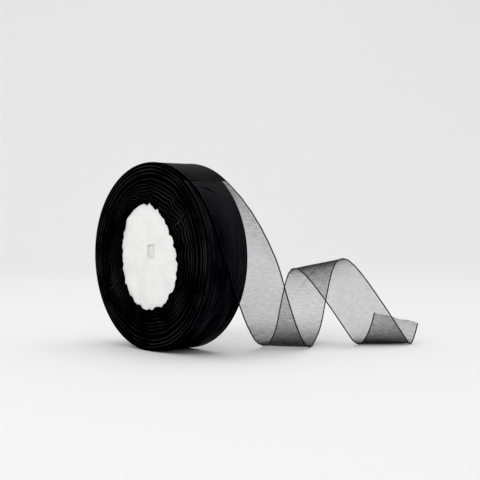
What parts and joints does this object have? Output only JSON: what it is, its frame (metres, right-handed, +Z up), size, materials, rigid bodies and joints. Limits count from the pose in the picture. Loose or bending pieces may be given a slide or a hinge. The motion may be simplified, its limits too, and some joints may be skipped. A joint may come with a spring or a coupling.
{
  "type": "ribbon spool",
  "caption": "Pack of sheer ribbon wound on a foam disc, standing on its rim with its free end curling away.",
  "frame": {"origin": "on the floor under the middle of the pack, at the centre of the small flat it stands on", "axes": "+Z up, +Y along the pack's axis from the front face to the back, +X to the side where the tail leaves"},
  "size_m": [0.1274, 0.1267, 0.0982],
  "materials": {
    "foam": "fine-celled white foam",
    "tape": "matt adhesive tape",
    "inner_turns": "crinkled organza turns",
    "middle_turns": "even organza turns",
    "outer_turns": "smooth organza turns",
    "loose_turn": "sheer organza with a soft sheen",
    "loose_turn_selvedge": "woven selvedge",
    "tail_web": "sheer organza",
    "tail_selvedge": "woven selvedge"
  },
  "bodies": {
    "loose_turn": {"loose_turn_web": "loose_turn", "loose_turn_front_selvedge": "loose_turn_selvedge", "loose_turn_rear_selvedge": "loose_turn_selvedge"},
    "roll": {"foam_core": "foam", "start_tape": "tape", "inner_turns": "inner_turns", "middle_turns": "middle_turns", "outer_turns": "outer_turns"},
    "tail": {"tail_web": "tail_web", "tail_front_selvedge": "tail_selvedge", "tail_rear_selvedge": "tail_selvedge"},
    "tail_end": {"tail_end_web": "tail_web", "tail_end_front_selvedge": "tail_selvedge", "tail_end_rear_selvedge": "tail_selvedge"}
  },
  "joints": [
    {"name": "pay_out", "type": "hinge", "parent": "loose_turn", "child": "roll", "pos_m": [0, 0, 0.049], "axis": [0, 1, 0], "continuous": true},
    {"name": "tail_lift", "type": "hinge", "parent": "loose_turn", "child": "tail", "pos_m": [0.02976, 0.003, 0.08793], "axis": [0, -1, 0], "range_deg": [0, 50]},
    {"name": "tail_uncurl", "type": "hinge", "parent": "tail", "child": "tail_end", "pos_m": [0.0372, 0.07594, 0.04415], "axis": [-0.6674, -0.7176, -0.1991], "range_deg": [0, 60]}
  ]
}
